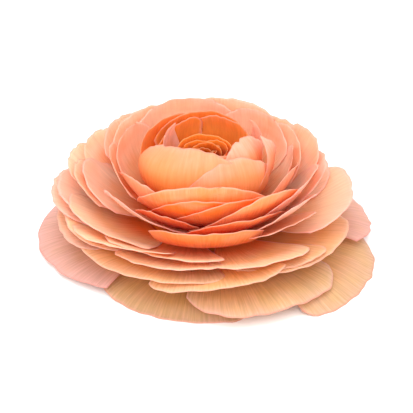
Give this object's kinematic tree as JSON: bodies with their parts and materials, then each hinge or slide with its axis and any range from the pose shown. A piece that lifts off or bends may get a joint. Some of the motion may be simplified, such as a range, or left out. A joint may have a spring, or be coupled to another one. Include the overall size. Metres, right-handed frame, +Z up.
{
  "type": "ranunculus flower",
  "caption": "Cut double ranunculus bloom, fully open and lying face up: layered peach and coral petals round a tight orange heart, with a green calyx and a short stem stub beneath.",
  "frame": {"origin": "on the surface the bloom lies on, under the middle of its outline", "axes": "+Z up along the bloom's axis, -Y towards the front of the bloom as pictured, +X to its right"},
  "size_m": [0.1008, 0.0944, 0.0406],
  "materials": {
    "stem_and_calyx": "living green stem and sepals, matt with a soft sheen",
    "carpel_head": "dark brown seed head, matt",
    "heart_petals": "living petal, satin and slightly translucent",
    "cup_petals": "living petal, satin and slightly translucent",
    "upper_bowl_petals": "living petal, satin and slightly translucent",
    "lower_bowl_petals": "living petal, satin and slightly translucent",
    "spreading_petals": "living petal, satin and slightly translucent",
    "low_petals": "living petal, satin and slightly translucent",
    "skirt_petals": "living petal, satin and slightly translucent"
  },
  "bodies": {
    "root": {"stem_and_calyx": "stem_and_calyx", "carpel_head": "carpel_head", "heart_petals": "heart_petals", "cup_petals": "cup_petals", "upper_bowl_petals": "upper_bowl_petals", "lower_bowl_petals": "lower_bowl_petals", "spreading_petals": "spreading_petals", "low_petals": "low_petals", "skirt_petals": "skirt_petals"}
  },
  "joints": []
}
